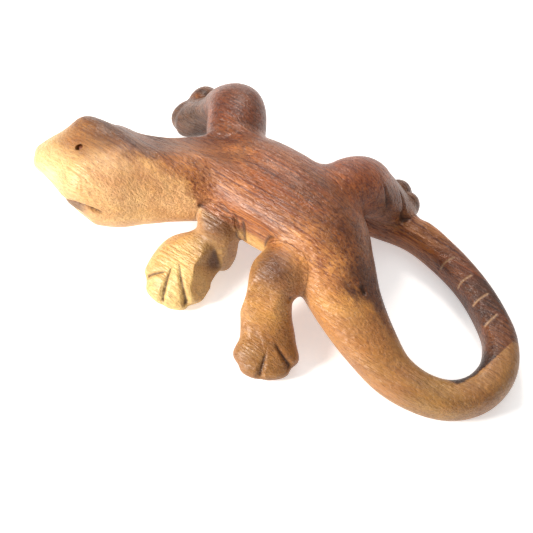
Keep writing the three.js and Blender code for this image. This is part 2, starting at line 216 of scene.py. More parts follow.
# ------------------------------------------------------------------ the legs
# Four legs, each sawn with its foot and pegged to the trunk: a short squat left
# foreleg with a spread hand, a bent left thigh, a high right shoulder, a right
# thigh whose foot is coped over the end of the tail.
LEFT_ARM = [
    (-20, 4, 25, 16, 18, 2.3, 8),
    (-17, -5, 23, 16, 16, 2.3, 8),
    (-15.2, -9.5, 17, 16, 13, 2.3, 8),
    (-15, -10.5, 9, 15, 11, 2.3, 6),
    (-15.5, -11, 5, 13.5, 9, 2.2, 6),
]
LEFT_HAND = [
    (-15.5, -9, 12, 14, 20, 2.2, 0),
    (-17.5, -15, 11, 18, 18, 2.2, 0),
    (-20.2, -22, 8.4, 26, 15.5, 2.2, 0),
    (-19.8, -29.5, 5.7, 26, 12, 2.2, 0),
    (-19.2, -34.9, 3.6, 18.5, 8, 2.1, 0),
]
LEFT_THIGH = [
    (18, 0, 23, 19, 17, 2.2, 0),
    (16, -12, 23, 20, 18, 2.2, 2),
    (15, -19, 19.5, 20, 16, 2.2, 6),
    (18.2, -24, 12.5, 18.5, 13, 2.2, 14),
    (22.6, -29, 7.2, 20, 12, 2.2, 22),
    (25.8, -34, 5.1, 23.5, 11, 2.2, 26),
    (28, -37.6, 3.6, 18, 8, 2.1, 28),
]
RIGHT_ARM = [
    (-25, 15, 24, 22, 20, 2.2, 39),
    (-35, 26.5, 26.5, 23, 22, 2.2, 39),
    (-42.2, 35.8, 27.2, 22.5, 21, 2.4, 45),
    (-49.5, 39.4, 22.5, 20, 19, 2.2, 65),
    (-57, 39, 15, 16, 15, 2.2, 84),
    (-64, 38.5, 9.5, 18, 14, 2.2, 90),
    (-68.2, 38.4, 6.6, 19, 13.6, 2.2, 92),
    (-71.4, 38.4, 5.6, 15, 11.6, 2.2, 92),
]
RIGHT_THIGH = [
    (10, 14, 26, 22, 22, 2.2, 0),
    (13, 28, 26, 23, 23, 2.2, 0),
    (16.5, 37, 24, 23, 21, 2.2, 0),
    (20.5, 41.5, 19, 22, 17, 2.2, 0),
    (23.5, 45.5, 13.5, 21, 14, 2.2, 0),
    (25.5, 48.5, 9, 20, 12, 2.2, 0),
    (26.5, 50.8, 6, 17, 10, 2.2, 0),
]
LEGS = {
    "foreleg_left": {
        "runs": [(LEFT_ARM, True), (LEFT_HAND, False)], "knobs": [],
        "at": (-16, -4.5, 22), "out": (0, -1, -0.25),
        "pegs": [(-19, -2.2, 22.6), (-12.5, -2.2, 22.6)], "sweep": 1.6,
    },
    "foreleg_right": {
        "runs": [(RIGHT_ARM, True)], "knobs": [((-68.9, 46.6, 7.2), (6.6, 8.2, 7.6), 10)],
        "at": (-33, 25.5, 25), "out": (-0.55, 0.83, 0),
        "pegs": [(-36.5, 23.2, 25), (-29.5, 27.8, 25)], "sweep": 7.0,
    },
    "hindleg_left": {
        "runs": [(LEFT_THIGH, True)], "knobs": [],
        "at": (16.5, -5.5, 23), "out": (0, -1, -0.1),
        "pegs": [(12, -5.5, 23), (21, -5.5, 23)], "sweep": 3.5,
    },
    "hindleg_right": {
        "runs": [(RIGHT_THIGH, False)],
        "knobs": [((22.3, 55.8, 6), (5.5, 5.5, 6.5)), ((28, 53.6, 5.5), (5, 5, 6))],
        "at": (12.5, 26, 26), "out": (0.15, 0.98, 0),
        "pegs": [(8.2, 26.7, 26), (16.8, 25.3, 26)], "sweep": 6.0,
    },
}
TAIL_PEG = {"at": (26.5, 42.4, 9), "out": (0, 0, 1), "half": 6.5}
PEG_HOLE = 4.6
PEG_DEPTH = 8.0


def leg_skins(leg, grow=0.0):
    skins = [run_of_ovals(st, 64, 110, level, grow) for st, level in leg["runs"]]
    return skins + [knob(*k, grow=grow) for k in leg["knobs"]]


def joined(skins):
    verts, faces, start = [], [], 0
    for v, f in skins:
        verts.append(v)
        faces += [tuple(i + start for i in face) for face in f]
        start += len(v)
    return np.vstack(verts), faces


def mesh_of(name, verts, faces):
    mesh = bpy.data.meshes.new(name)
    mesh.from_pydata(np.asarray(verts).tolist(), [], faces)
    mesh.update()
    obj = bpy.data.objects.new(name, mesh)
    bpy.context.collection.objects.link(obj)
    return obj


def settle(obj):
    """Takes what the modifiers make as the mesh itself."""
    graph = bpy.context.evaluated_depsgraph_get()
    mesh = bpy.data.meshes.new_from_object(obj.evaluated_get(graph))
    obj.modifiers.clear()
    old = obj.data
    obj.data = mesh
    bpy.data.meshes.remove(old)


def fused(name, skins, grain):
    """One skin round all of them, in even facets of that size in mm."""
    obj = mesh_of(name, *joined(skins))
    wrap = obj.modifiers.new("wrap", "REMESH")
    wrap.mode = "VOXEL"
    wrap.voxel_size = grain
    wrap.adaptivity = 0
    settle(obj)
    return obj


def points_of(obj):
    p = np.empty(len(obj.data.vertices) * 3)
    obj.data.vertices.foreach_get("co", p)
    return p.reshape(-1, 3)


FACET = 0.5
skins = {name: leg_skins(leg) for name, leg in LEGS.items()}
all_legs = [skin for part in skins.values() for skin in part]
figure = fused("figure", [trunk_skin, snout_skin, *brow_skins, *all_legs], FACET)
P = points_of(figure)
count = len(P)
loops = np.empty(len(figure.data.loops), int)
figure.data.loops.foreach_get("vertex_index", loops)
QUADS = loops.reshape(-1, 4)
edge = np.empty(len(figure.data.edges) * 2, int)
figure.data.edges.foreach_get("vertices", edge)
EDGES = edge.reshape(-1, 2)


def normals(p):
    across = np.cross(p[QUADS[:, 2]] - p[QUADS[:, 0]], p[QUADS[:, 3]] - p[QUADS[:, 1]])
    n = np.zeros_like(p)
    for k in range(3):
        for c in range(4):
            n[:, k] += np.bincount(QUADS[:, c], across[:, k], count)
    return unit(n + 1e-12)


def rub(p, amount, passes):
    """Rubs the skin down where amount is above 0, as sandpaper round a dowel would."""
    live = amount > 0.001
    mine = EDGES[live[EDGES[:, 0]] | live[EDGES[:, 1]]]
    degree = np.bincount(mine.ravel(), minlength=count)[:, None] + 1e-9
    p = p.copy()
    for _ in range(passes):
        mean = np.stack([np.bincount(mine[:, 0], p[mine[:, 1], k], count)
                         + np.bincount(mine[:, 1], p[mine[:, 0], k], count) for k in range(3)], axis=1)
        p = p + (mean / degree - p) * (0.6 * amount[:, None]) * live[:, None]
    return p


def tree_of(some_skins):
    v, f = joined(some_skins)
    return BVHTree.FromPolygons([Vector(x) for x in v], f)


def off(tree, p, reach):
    """Distance from a skin, at most reach."""
    out = np.full(len(p), float(reach))
    for i, x in enumerate(p):
        hit = tree.find_nearest(Vector(x), reach)
        if hit[3] is not None:
            out[i] = hit[3]
    return out


def meeting(a, b, reach):
    """1 where two skins meet, falling to 0 at that distance from the meeting."""
    va, _ = joined(b)
    low, high = va.min(axis=0) - reach, va.max(axis=0) + reach
    near = np.flatnonzero(np.all((P > low) & (P < high), axis=1))
    d = off(tree_of(b), P[near], reach)
    near, d = near[d < reach], d[d < reach]
    d = np.maximum(d, off(tree_of(a), P[near], reach))
    w = np.zeros(count)
    w[near] = np.clip(1 - d / reach, 0, 1)
    return w * w * (3 - 2 * w)


def passes_for(radius):
    return int(min(400, (radius / FACET) ** 2 * 1.3))


P = rub(P, np.ones(count), 3)
shaped = P
for name, leg in LEGS.items():
    w = meeting([trunk_skin], skins[name], leg["sweep"])
    shaped = rub(shaped, np.clip(w * 1.6, 0, 1), passes_for(leg["sweep"]))
w = np.zeros(count)
for brow in brow_skins:
    w = np.maximum(w, meeting([trunk_skin, snout_skin], [brow], 4.5))
w = np.maximum(w, meeting(brow_skins[:1], brow_skins[1:2], 5.0))
w = np.maximum(w, meeting(brow_skins[:1], brow_skins[2:], 3.0))
shaped = rub(shaped, np.clip(w * 1.5, 0, 1), passes_for(4.0))
w = meeting([skins["foreleg_left"][0]], [skins["foreleg_left"][1]], 2.0)
w = np.maximum(w, meeting([skins["foreleg_right"][0]], [skins["foreleg_right"][1]], 1.6))
for toe in skins["hindleg_right"][1:]:
    w = np.maximum(w, meeting([skins["hindleg_right"][0]], [toe], 1.4))
shaped = rub(shaped, w, passes_for(2.0))
P = shaped


def part_of(some_skins):
    """1 on the skin of one piece, 0 a millimetre away from it."""
    v, _ = joined(some_skins)
    near = np.flatnonzero(np.all((P > v.min(axis=0) - 2) & (P < v.max(axis=0) + 2), axis=1))
    here = np.zeros(count)
    here[near] = np.clip(1.9 - off(tree_of(some_skins), P[near], 2.0), 0, 1)
    return here


on_leg = {name: part_of(skins[name]) for name in LEGS}
off_legs = 1 - np.max(list(on_leg.values()), axis=0)

# ---------------------------------------------------------- knife and file work
# The same timber, worked by hand after the glue-up: flats pared with a knife, V cuts
# between the toes, the sawn mouth, four lines scored over the tail and a pin knot.


def smooth(a, b, x):
    t = np.clip((x - a) / (b - a), 0, 1)
    return t * t * (3 - 2 * t)


def window(p, centre, radii, soft_rim=0.35):
    """1 inside a soft egg-shaped patch, 0 outside."""
    r = np.linalg.norm((p - np.asarray(centre, float)) / np.asarray(radii, float), axis=1)
    return 1 - smooth(1 - soft_rim, 1, r)


def pare(p, at, out, patch, soft=0.25):
    """Cuts everything beyond a flat away, inside the patch."""
    n = unit(out)
    d = (p - np.asarray(at, float)) @ n
    cut = soft * np.log1p(np.exp(np.clip(d / soft, -40, 40)))
    return p - n * (cut * patch)[:, None]


def along_path(p, path):
    """Distance from a bent path, and how far along it from 0 to 1."""
    path = np.asarray(path, float)
    steps = np.linalg.norm(np.diff(path, axis=0), axis=1)
    start = np.concatenate([[0], np.cumsum(steps)])
    best = np.full(len(p), 1e9)
    where = np.zeros(len(p))
    for i, (a, b) in enumerate(zip(path[:-1], path[1:])):
        t = np.clip((p - a) @ (b - a) / steps[i] ** 2, 0, 1)
        d = np.linalg.norm(p - a - t[:, None] * (b - a), axis=1)
        better = d < best
        best = np.where(better, d, best)
        where = np.where(better, (start[i] + t * steps[i]) / start[-1], where)
    return best, where


def vee(p, path, depth, half):
    """Depth of a V cut along a path; depth and half width run from start to end."""
    d, s = along_path(p, path)
    deep = np.interp(s, np.linspace(0, 1, len(depth)), depth)
    wide = np.interp(s, np.linspace(0, 1, len(half)), half)
    return deep * np.clip(1 - d / wide, 0, 1)


# the snout is rounded off, without the ring of the blank
P = rub(P, window(P, (-80, -27, 31), (20, 24, 20), 0.6), passes_for(6.0))
# and no hollow is left between the snout and the cheek
N = normals(P)
level = rub(P, window(P, (-71, -36, 32), (13, 12, 15), 0.6), passes_for(9.0))
P = P + N * np.maximum(0, np.sum((level - P) * N, axis=1))[:, None]
# below the snout and below the jaw: two flats leaning outward
patch = window(P, (-76, -34, 28), (11, 10, 10), 0.5)
P = pare(P, (-75.4, -33.7, 28), (-0.155, -0.922, -0.356), patch, 0.15)
patch = window(P, (-60, -33, 22), (13, 10, 8), 0.5)
P = pare(P, (-63.7, -33.4, 20), (-0.125, -0.919, -0.373), patch, 0.15)
# sanded over, so the flats meet in round edges
P = rub(P, window(P, (-70, -34, 25), (22, 14, 18), 0.4), passes_for(2.6))
# neck and crown: one long flat from brow to shoulder
patch = window(P, (-38, 4, 40), (32, 19, 16), 0.6) * off_legs
P = pare(P, (-46, -8.3, 41.6), (-0.16, 0.40, 0.9), patch, 0.1)
# near flank of the belly, between the two left legs
P = pare(P, (-4, -6.2, 26), (0.05, -0.98, 0.18), window(P, (-4, -8, 24), (20, 9, 14), 0.5) * off_legs, 0.1)
# left hand: a flat back, a steep inner side
hand = on_leg["foreleg_left"]
patch = window(P, (-21, -26, 13), (16, 15, 12), 0.5) * hand
P = pare(P, (-18, -24, 15.3), (-0.08, -0.46, 0.88), patch, 0.12)
P = pare(P, (-13.6, -22, 14.2), (0.88, 0.0, 0.47), window(P, (-9, -24, 9), (11, 9, 14), 0.5) * hand, 0.12)
# left foreleg: a squared block with a flat top, front and end
P = pare(P, (-10, -14.8, 15), (0.25, -0.96, 0.08), window(P, (-9, -14, 15), (9, 8, 14), 0.5) * hand, 0.12)
P = pare(P, (-14, -11, 26.8), (0.02, -0.5, 0.86), window(P, (-14, -10, 27), (12, 9, 8), 0.5) * hand, 0.12)
P = pare(P, (-7.8, -10, 17), (1, -0.1, 0.05), window(P, (-7, -10, 17), (5, 8, 14), 0.5) * hand, 0.12)
# left thigh: a flat shin and a flat outer side meeting in a ridge
thigh = on_leg["hindleg_left"]
patch = window(P, (18, -24, 20), (16, 13, 16), 0.6) * thigh
P = pare(P, (18, -25.5, 21.4), (0.18, -0.785, 0.59), patch, 0.12)
P = pare(P, (11.0, -25, 22), (-0.93, -0.3, 0.2), window(P, (11, -25, 20), (10, 15, 15), 0.6) * thigh, 0.12)
N = normals(P)
cut = np.zeros(count)
TOE_CUTS = {
    "foreleg_left": [((-23, -30.9, 11.4), (-31, -35, 5)), ((-21.8, -28.8, 12.7), (-18, -41, 2)),
                     ((-19.9, -26.4, 14), (-8, -35.5, 2))],
    "hindleg_left": [((26.9, -35.4, 10.6), (29.6, -44, 3)), ((27.7, -31.2, 12), (37, -32.5, 4))],
    "hindleg_right": [((24.5, 36.9, 31.2), (30.5, 33, 15)), ((27.7, 45, 22.2), (33.5, 41, 13))],
}


def toe_cut(p, start, end, up=(0, -0.4, 0.9)):
    """A V cut between toes, opening and deepening from its start to the rim."""
    a, b = np.asarray(start, float), np.asarray(end, float)
    ahead = unit(b - a)
    side_way = unit(np.cross(up, ahead))
    t = (p - a) @ ahead / np.linalg.norm(b - a)
    across = np.abs((p - a) @ side_way)
    half = 0.5 + 1.9 * np.clip(t, 0, 1.2)
    deep = 0.5 + 1.5 * np.clip(t, 0, 1.0)
    deep = deep * (0.15 + 0.85 * smooth(0.15, 0.75, N @ unit(up)))
    off_level = np.abs((p - a - (t * np.linalg.norm(b - a))[:, None] * ahead) @ np.cross(ahead, side_way))
    return deep * np.clip(1 - across / half, 0, 1) * smooth(-0.12, 0.1, t) * (1 - smooth(6, 9, off_level))


for name, cuts in TOE_CUTS.items():
    tilt = (0, -0.4, 0.9) if name.endswith("left") else (0.7, 0.5, 0.5)
    for start, end in cuts:
        cut = np.maximum(cut, toe_cut(P, start, end, tilt) * on_leg[name])
# creases where a leg meets the trunk: behind the left arm, over the arm, at the
# left hip, and a faint one at the left ankle
CREASES = [
    (((-6.0, -6.4, 28.0), (-5.2, -6.5, 24), (-4.6, -7, 19)), (0.9, 1.3), (1.3, 1.6)),
    (((-22.8, -9.7, 28.8), (-16.1, -9.2, 29.2), (-10.7, -7.6, 28.8), (-6.5, -7.2, 27.7)),
     (0.6, 1.0), (1.0, 1.2)),
    (((19.6, -20.7, 27.7), (24.8, -18.5, 21.9)), (0.2, 0.8), (1.2, 2.0)),
    (((15.4, -30.5, 13), (18.5, -31.5, 13.4), (21, -33, 12.4)), (0.6, 0.2), (2.2, 1.8)),
]
for path, depth, half in CREASES:
    cut = np.maximum(cut, vee(P, path, depth, half))

# the mouth is a saw cut under an overhanging lip; the lower jaw stands back.
# Head frame: back from the nose, across, up, leaning with the head.
rearward = unit((27, 10, -2.8))
lean = math.radians(-14)
sideways = unit(np.cross([0, 0, 1], rearward))
sideways = sideways * math.cos(lean) + np.cross(rearward, sideways) * math.sin(lean)
head = np.stack([rearward, sideways, np.cross(rearward, sideways)])
H = (P - np.array([-82, -26.2, 30.5])) @ head.T
LIP = np.array([(-12, -6), (0, -4.2), (5.8, -3.1), (12.2, -2.1),
                (19.5, 0), (23.3, -0.3), (28.7, -1.5), (31.8, -2.2)])
lip_z = np.interp(H[:, 0], LIP[:, 0], LIP[:, 1])
on_head = (H[:, 0] < 40) & (H[:, 2] > -30)
below = smooth(-0.1, 0.5, lip_z - 0.3 - H[:, 2])
jaw = 1.8 * below * (1 - smooth(19, 27, H[:, 0])) * (1 - smooth(7, 14, lip_z - H[:, 2])) * on_head
slit_run = smooth(8, 18, H[:, 0]) * (1 - smooth(25, 31, H[:, 0])) * on_head
slit = np.exp(-((H[:, 2] - lip_z + 0.5) / 0.6) ** 2) * slit_run
cut = np.maximum(cut, jaw + 2.2 * slit)
# a pin knot on the rump, a small dark pit
KNOT = ((43.4, -2.6, 27), (44.6, -3.2, 25.6))
knot, _ = along_path(P, KNOT)
cut = np.maximum(cut, 1.1 * np.clip(1 - knot / 1.3, 0, 1))
SCORES = [
    ((54.9, 33.5, 8), (57, 38.5, 12)),
    ((64.4, 29.8, 8), (66.3, 35.4, 12)),
    ((73.4, 26.2, 8.5), (75.2, 32.0, 12)),
    ((81.3, 20.3, 10), (82.4, 26.3, 12)),
]


def scored_line(p, start, end):
    """A knife line drawn over the top, straight when seen from above."""
    a, b = np.asarray(start, float), np.asarray(end, float)
    ahead = unit(b - a)
    t = (p - a) @ ahead / np.linalg.norm(b - a)
    across = np.abs((p - a) @ unit(np.cross((0, 0, 1), ahead)))
    ends = smooth(-0.06, 0.02, t) * (1 - smooth(0.98, 1.06, t))
    return np.clip(1 - across / 0.55, 0, 1) * ends * (np.linalg.norm(p - (a + b) / 2, axis=1) < 8)


score = np.zeros(count)
for start, end in SCORES:
    score = np.maximum(score, scored_line(P, start, end))
cut = np.maximum(cut, score * 0.2)
P = P - N * cut[:, None]

# ------------------------------------------------------ parting the pieces
# Each leg is a piece of its own, parted from the trunk on a flat glue plane, and the
# trunk keeps the pocket for it. Holes are drilled for the dowels and the eye pins.
SEAM = 0.12
HUG = 0.9


def rod(name, at, out, diameter, half):
    n = unit(out)
    a = unit(np.cross(n, [0.31, 0.52, 0.79]))
    b = np.cross(n, a)
    around = 32
    verts = [np.asarray(at) + n * h + (a * math.cos(2 * math.pi * j / around)
             + b * math.sin(2 * math.pi * j / around)) * diameter / 2
             for h in (-half, half) for j in range(around)]
    faces = [(j, (j + 1) % around, around + (j + 1) % around, around + j) for j in range(around)]
    faces += [tuple(range(around))[::-1], tuple(range(around, 2 * around))]
    return mesh_of(name, verts, faces)


def leg_block(name, leg, grow, shift, keep_tail_clear):
    """The leg's own space beyond its glue plane."""
    block = fused(name, leg_skins(leg, grow), 0.6)
    n = unit(leg["out"])
    bm = bmesh.new()
    bm.from_mesh(block.data)
    got = bmesh.ops.bisect_plane(bm, geom=bm.verts[:] + bm.edges[:] + bm.faces[:], dist=1e-5,
                                 plane_co=Vector(np.asarray(leg["at"]) + n * shift), plane_no=Vector(n),
                                 clear_inner=True)
    rim = [e for e in got["geom_cut"] if isinstance(e, bmesh.types.BMEdge)]
    bmesh.ops.triangle_fill(bm, edges=rim, use_beauty=True)
    bmesh.ops.recalc_face_normals(bm, faces=bm.faces[:])
    bm.to_mesh(block.data)
    bm.free()
    if keep_tail_clear is not None:
        cut_by(block, keep_tail_clear, "DIFFERENCE")
    return block


def cut_by(obj, tool, how):
    m = obj.modifiers.new("cut", "BOOLEAN")
    m.operation = how
    m.solver = "MANIFOLD"
    m.object = tool
    settle(obj)


def discard(obj):
    mesh = obj.data
    bpy.data.objects.remove(obj)
    bpy.data.meshes.remove(mesh)


figure.data.vertices.foreach_set("co", P.ravel())
figure.data.update()
# the table plane planes every sole flat
BENCH_HALF = 200
BENCH_THICK = 40
bench = mesh_of("bench", [(x, y, z) for x in (-BENCH_HALF, BENCH_HALF) for y in (-BENCH_HALF, BENCH_HALF)
                          for z in (-BENCH_THICK, 0)],
                [(0, 1, 3, 2), (4, 6, 7, 5), (0, 4, 5, 1), (2, 3, 7, 6), (0, 2, 6, 4), (1, 5, 7, 3)])
cut_by(figure, bench, "DIFFERENCE")
discard(bench)

EYE_HOLE = 2.8
EYE_HOLE_DEPTH = 5.4
EYES = {
    "left": ((-65.1, -23.9, 43.2), (-0.1, -0.5, 0.86)),
    "right": ((-71.5, -8.2, 40.5), (-0.35, 0.72, 0.6)),
}
pieces = {}
tail_room = {grow: run_of_ovals(TRUNK[-TAIL_RUN:], 64, 160, grow=grow) for grow in (0.1, 0.22)}
body = figure
for name, leg in LEGS.items():
    copy = figure.copy()
    copy.data = figure.data.copy()
    bpy.context.collection.objects.link(copy)
    pieces[name] = copy
for name, leg in LEGS.items():
    clear = {}
    if name == "hindleg_right":
        clear = {g: mesh_of("tail_room", *tail_room[g]) for g in tail_room}
    own = leg_block("own", leg, HUG, SEAM / 2, clear.get(0.22))
    pocket = leg_block("pocket", leg, HUG + SEAM, -SEAM / 2, clear.get(0.1))
    cut_by(pieces[name], own, "INTERSECT")
    cut_by(body, pocket, "DIFFERENCE")
    for tool in (own, pocket, *clear.values()):
        discard(tool)
    for at in leg["pegs"]:
        hole = rod("hole", at, leg["out"], PEG_HOLE, PEG_DEPTH)
        cut_by(pieces[name], hole, "DIFFERENCE")
        cut_by(body, hole, "DIFFERENCE")
        discard(hole)
hole = rod("hole", TAIL_PEG["at"], TAIL_PEG["out"], PEG_HOLE, TAIL_PEG["half"])
cut_by(pieces["hindleg_right"], hole, "DIFFERENCE")
cut_by(body, hole, "DIFFERENCE")
discard(hole)
for at, out in EYES.values():
    hole = rod("hole", at, out, EYE_HOLE, EYE_HOLE_DEPTH)
    cut_by(body, hole, "DIFFERENCE")
    discard(hole)
pieces["body"] = body

# ---------------------------------------------------------- tone of the timber
# Heartwood and sapwood of the same board: the pale edge runs along the left side,
# so nose, cheek, left legs and the outside of the tail loop are pale. It is oiled bare. The colours below also
# carry painted light and shade: nose, cheek and left hand are paler still where the lamp falls, and hollows and
# shaded faces are darkened.
kd = KDTree(count)
for i, x in enumerate(P):
    kd.insert(Vector(x), i)
kd.balance()
smoothed = rub(P, np.ones(count), 12)
# painted shade: depth below the smoothed skin marks hollows, creases and cuts, which the timber darkens as
# painted shade; below zero it marks ridges, which the timber makes lighter
painted_cavity_shade = np.clip(-np.sum((P - smoothed) * N, axis=1) / 0.25, -1, 1)
# the recessed lower jaw under the lip is darkened too: painted shade
painted_cavity_shade = np.maximum(painted_cavity_shade, 1.1 * jaw / 1.8)
# the knot pit is darkened: partly the knot's own dark colour, partly painted shade in the pit
painted_cavity_shade = np.maximum(painted_cavity_shade, np.clip(1.1 - knot / 1.5, -1, 1))


def heartwood(p):
    x, y, z = p[:, 0], p[:, 1], p[:, 2]
    xs = [-90, -80, -70, -60, -50, -40, -30, -22, 0, 20, 35, 44, 52, 70, 86, 89, 91, 92.5, 95, 100]
    ys = [2, -8, -12, -13, -14, -9, -7, -9.5, -7.5, -9, -10, -7, -4, -3, -8, 0, 10, 20, 22, 23]
    soft = [14, 14, 12, 10, 6, 5, 4, 2.5, 3, 8, 9, 8, 8, 4, 3, 3, 2.5, 2.5, 2.5, 2.5]
    edge_y = np.interp(x, xs, ys)
    width = np.interp(x, xs, soft)
    low = np.interp(x, [-60, -40, 30, 45], [0.5, 0.5, 0.5, 0.0]) * np.clip(28 - z, -4, 20)
    return smooth(-1, 1, (y - edge_y - low) / width)


def linear(code):
    c = [int(code[i:i + 2], 16) / 255 for i in (1, 3, 5)]
    return tuple(x / 12.92 if x <= 0.04045 else ((x + 0.055) / 1.055) ** 2.4 for x in c) + (1,)


# what the board shows at named places: place in mm, colour of the sapwood there. These colours are partly the
# sapwood's own tone and partly painted light and shade: painted light makes the nose, cheek, throat and left
# hand paler, and painted shade darkens the shaded face of the left arm and the sapwood along the tail, which
# lies further from the lamp.
SAPWOOD_TONE_AND_PAINTED_LIGHT = [
    ((-86, -28, 32), "#dfc07c"), ((-72, -35, 33), "#ecd69a"), ((-62, -33, 35), "#e6bc7c"),
    ((-68, -20, 43), "#ad7a48"), ((-64, -13, 45), "#8c6039"), ((-55, -33, 22), "#d2a468"),
    ((-49, -26, 42), "#e6b680"), ((-45, -33, 29), "#dcae70"), ((-38, -22, 22), "#e6b878"),
    ((-42, -16, 38), "#e0a86e"), ((-28, -14.5, 30), "#f0be84"), ((-20, -27, 12), "#ecc67c"),
    ((-18, -38, 5), "#e8cc88"), ((-11, -15, 15), "#a8834f"), ((-13, -10, 27), "#734822"),
    ((17, -15, 30), "#6e4424"), ((17, -27, 20), "#c08a44"), ((27, -36, 8), "#9c6c35"),
    ((0, -8, 22), "#dcae6c"), ((25, -9, 30), "#cc8e58"), ((38, -12, 22), "#cf9454"),
    ((50, -14, 18), "#bd864c"), ((65, -18, 13), "#b38046"), ((80, -16, 12), "#a67c44"),
    ((97, -2, 10), "#a87a46"), ((98, 12, 9), "#a67844"),
]
# heartwood colours at named places, partly the heartwood's own tone and partly painted light and shade: painted
# shade darkens the right hand and the inner faces of the tail loop, and painted light makes the near side of
# the rump paler
HEARTWOOD_TONE_AND_PAINTED_LIGHT = [
    ((-64, -8, 45), "#7c543a"), ((-45, -5, 41), "#76503c"), ((-38, -8, 38), "#b87a46"),
    ((-25, 8, 41), "#9a6646"), ((-40, 35, 38), "#7c4626"), ((-38, 30, 41), "#7c4020"),
    ((-32, 22, 35), "#7f4a2a"), ((-67, 31, 12), "#5c3e26"), ((-68, 44, 14), "#6e4a34"),
    ((-5, 8, 41), "#9c5c32"), ((-12, -5, 33), "#bd7e54"), ((10, 10, 40), "#88502a"),
    ((28, 5, 33), "#7c4826"), ((22, -5, 31), "#d89a68"), ((30, -6, 32), "#d89a64"),
    ((14, 38, 36), "#94522e"), ((22, 34, 33), "#a8623c"), ((28, 38, 25), "#8a5a42"),
    ((28, 52, 12), "#7a5846"), ((42, 41, 11), "#b0723f"), ((60, 38, 11), "#855030"),
    ((75, 30, 11), "#55311c"), ((86, 5, 12), "#341e10"), ((92, 20, 12), "#7c4c2c"),
    ((42, -2, 27), "#6b4026"),
]


def spread(notes, p):
    """The colour at each point, shaded between the named places."""
    total = np.zeros((len(p), 4))
    weight = np.zeros(len(p))
    for place, shade in notes:
        share = 1 / (np.sum((p - np.asarray(place, float)) ** 2, axis=1) + 25) ** 2
        total += share[:, None] * np.array(linear(shade))
        weight += share
    return total / weight[:, None]


def finish_piece(name, obj):
    p = points_of(obj)
    near = np.array([kd.find(Vector(x))[1] for x in p])
    data = obj.data
    for label, values in (("heartwood", heartwood(p)), ("painted_cavity_shade", painted_cavity_shade[near]), ("score", score[near])):
        layer = data.attributes.new(label, "FLOAT", "POINT")
        layer.data.foreach_set("value", values.astype(np.float32))
    for label, notes in (("sap_tone_and_painted_light", SAPWOOD_TONE_AND_PAINTED_LIGHT), ("heart_tone_and_painted_light", HEARTWOOD_TONE_AND_PAINTED_LIGHT)):
        layer = data.attributes.new(label, "FLOAT_COLOR", "POINT")
        layer.data.foreach_set("color", spread(notes, p).astype(np.float32).ravel())
    data.vertices.foreach_set("co", ((p + CARVER_ZERO) * MM).ravel())
    data.polygons.foreach_set("use_smooth", [True] * len(data.polygons))
    data.set_sharp_from_angle(angle=math.radians(50))
    data.update()
    obj.name = "carved_" + name
    data.name = obj.name


def add(tree, kind, settings=None, links=None):
    """A node with its settings, and its inputs linked or filled."""
    node = tree.nodes.new(kind)
    for key, value in (settings or {}).items():
        setattr(node, key, value)
    for key, value in (links or {}).items():
        socket = node.inputs[key]
        if isinstance(value, bpy.types.NodeSocket):
            tree.links.new(value, socket)
        else:
            socket.default_value = value
    return node


def ramp(tree, fac, stops):
    node = add(tree, "ShaderNodeValToRGB", links={"Fac": fac})
    e = node.color_ramp.elements
    while len(e) < len(stops):
        e.new(0.5)
    for item, (place, colour) in zip(e, stops):
        item.position = place
        item.color = colour if isinstance(colour, tuple) else (colour, colour, colour, 1)
    return node.outputs["Color"]


